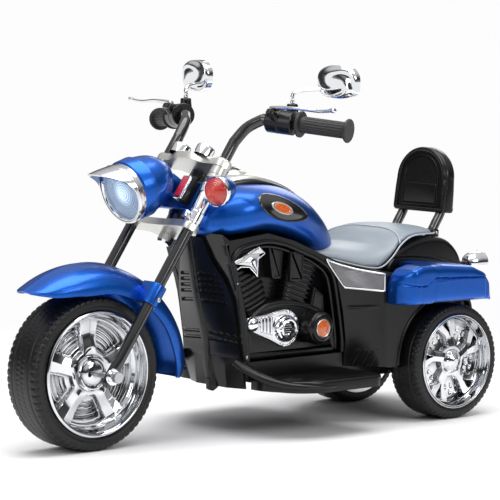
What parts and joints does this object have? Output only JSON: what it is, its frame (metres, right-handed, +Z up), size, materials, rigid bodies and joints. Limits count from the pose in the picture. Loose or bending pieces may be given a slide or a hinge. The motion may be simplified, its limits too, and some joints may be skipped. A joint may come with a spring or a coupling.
{
  "type": "ride-on chopper tricycle",
  "caption": "Child's battery ride-on chopper with three wheels, raked steering fork, high handlebars, saddle, backrest and side boxes.",
  "frame": {"origin": "centre of the whole machine's footprint, on the ground", "axes": "+X is forward, +Y is the rider's left, +Z is up; the steering is straight ahead"},
  "size_m": [0.997, 0.5368, 0.626],
  "materials": {
    "blue_paint": "satin metallic blue paint on moulded plastic",
    "black_plastic": "satin moulded black plastic",
    "black_steel": "gloss black enamel on steel tube",
    "chrome": "bright plating on moulded plastic",
    "silver": "satin silver",
    "tyre": "moulded black plastic tyre, satin",
    "seat_grey": "satin grey moulded saddle",
    "red_lens": "faceted red lens",
    "clear_lens": "clear lens with the lamp lit behind it",
    "rubber": "ribbed black rubber",
    "zinc_steel": "zinc-plated steel",
    "battery_case": "battery case",
    "gearbox_white": "moulded gear case"
  },
  "bodies": {
    "chassis": {"body_left": "black_plastic", "body_right": "black_plastic", "nose_cover": "black_plastic", "footboard_left": "black_plastic", "footboard_right": "black_plastic", "fuel_tank": "blue_paint", "tank_console": "silver", "engine_left": "black_plastic", "engine_right": "black_plastic", "gear_cover_left": "chrome", "gear_cover_right": "chrome", "clutch_cover_left": "black_plastic", "clutch_cover_right": "black_plastic", "rocker_cover_left": "chrome", "rocker_cover_right": "chrome", "seat": "seat_grey", "rear_fender": "black_plastic", "saddlebag_left": "blue_paint", "saddlebag_right": "blue_paint", "backrest": "black_plastic", "backrest_frame": "black_steel", "tail_lamp_left": "chrome", "tail_lamp_right": "chrome", "rear_axle": "zinc_steel", "battery": "battery_case", "drive_unit": "gearbox_white", "head_tube": "black_steel"},
    "steering": {"fork_leg_left": "black_steel", "fork_leg_right": "black_steel", "handlebar_left": "black_steel", "handlebar_right": "black_steel", "upper_yoke": "silver", "lower_yoke": "silver", "steering_stem": "zinc_steel", "headlight_shell": "blue_paint", "headlight_trim": "chrome", "headlight_lens": "clear_lens", "steering_cover": "blue_paint", "reflector_left": "red_lens", "reflector_right": "red_lens", "signal_lamp_left": "red_lens", "signal_lamp_right": "red_lens", "grip_left": "rubber", "grip_right": "rubber", "switch_housing_left": "black_plastic", "switch_housing_right": "black_plastic", "front_fender": "blue_paint", "front_axle": "zinc_steel"},
    "front_wheel": {"front_tyre": "tyre", "front_rim": "chrome"},
    "rear_wheel_left": {"rear_tyre_left": "tyre", "rear_rim_left": "chrome"},
    "rear_wheel_right": {"rear_tyre_right": "tyre", "rear_rim_right": "chrome"},
    "lever_left": {"lever_left": "chrome"},
    "lever_right": {"lever_right": "chrome"},
    "mirror_left": {"mirror_left": "chrome"},
    "mirror_right": {"mirror_right": "chrome"},
    "foot_pedal": {"foot_pedal": "rubber"},
    "power_switch": {"power_switch": "black_plastic"}
  },
  "joints": [
    {"name": "steering_turn", "type": "hinge", "parent": "chassis", "child": "steering", "pos_m": [0.35346, 0, 0.11441], "axis": [-0.5721, 0, 0.8202], "range_deg": [-25, 25]},
    {"name": "front_wheel_spin", "type": "hinge", "parent": "steering", "child": "front_wheel", "pos_m": [0.3715, 0, 0.127], "axis": [0, 1, 0], "continuous": true},
    {"name": "rear_wheel_left_spin", "type": "hinge", "parent": "chassis", "child": "rear_wheel_left", "pos_m": [-0.3312, 0.125, 0.1015], "axis": [0, 1, 0], "continuous": true},
    {"name": "rear_wheel_right_spin", "type": "hinge", "parent": "chassis", "child": "rear_wheel_right", "pos_m": [-0.3312, -0.125, 0.1015], "axis": [0, 1, 0], "continuous": true},
    {"name": "lever_left_squeeze", "type": "hinge", "parent": "steering", "child": "lever_left", "pos_m": [0.08134, 0.13541, 0.554], "axis": [-0.5721, 0, 0.8202], "range_deg": [0, 10], "stiffness_Nm_per_rad": 1, "springref_deg": -8.59},
    {"name": "lever_right_squeeze", "type": "hinge", "parent": "steering", "child": "lever_right", "pos_m": [0.08134, -0.13541, 0.554], "axis": [0.5721, 0, -0.8202], "range_deg": [0, 10], "stiffness_Nm_per_rad": 1, "springref_deg": -8.59},
    {"name": "mirror_left_swivel", "type": "hinge", "parent": "steering", "child": "mirror_left", "pos_m": [0.04263, 0.13908, 0.56153], "axis": [0, 0, 1], "range_deg": [-20, 20]},
    {"name": "mirror_right_swivel", "type": "hinge", "parent": "steering", "child": "mirror_right", "pos_m": [0.04263, -0.13908, 0.56153], "axis": [0, 0, 1], "range_deg": [-20, 20]},
    {"name": "foot_pedal_press", "type": "hinge", "parent": "chassis", "child": "foot_pedal", "pos_m": [-0.0405, -0.13, 0.102], "axis": [0, 1, 0], "range_deg": [0, 5], "stiffness_Nm_per_rad": 2, "springref_deg": -5.73},
    {"name": "power_switch_rock", "type": "hinge", "parent": "chassis", "child": "power_switch", "pos_m": [-0.2085, -0.1305, 0.203], "axis": [0, 0, 1], "range_deg": [-8, 8]}
  ]
}
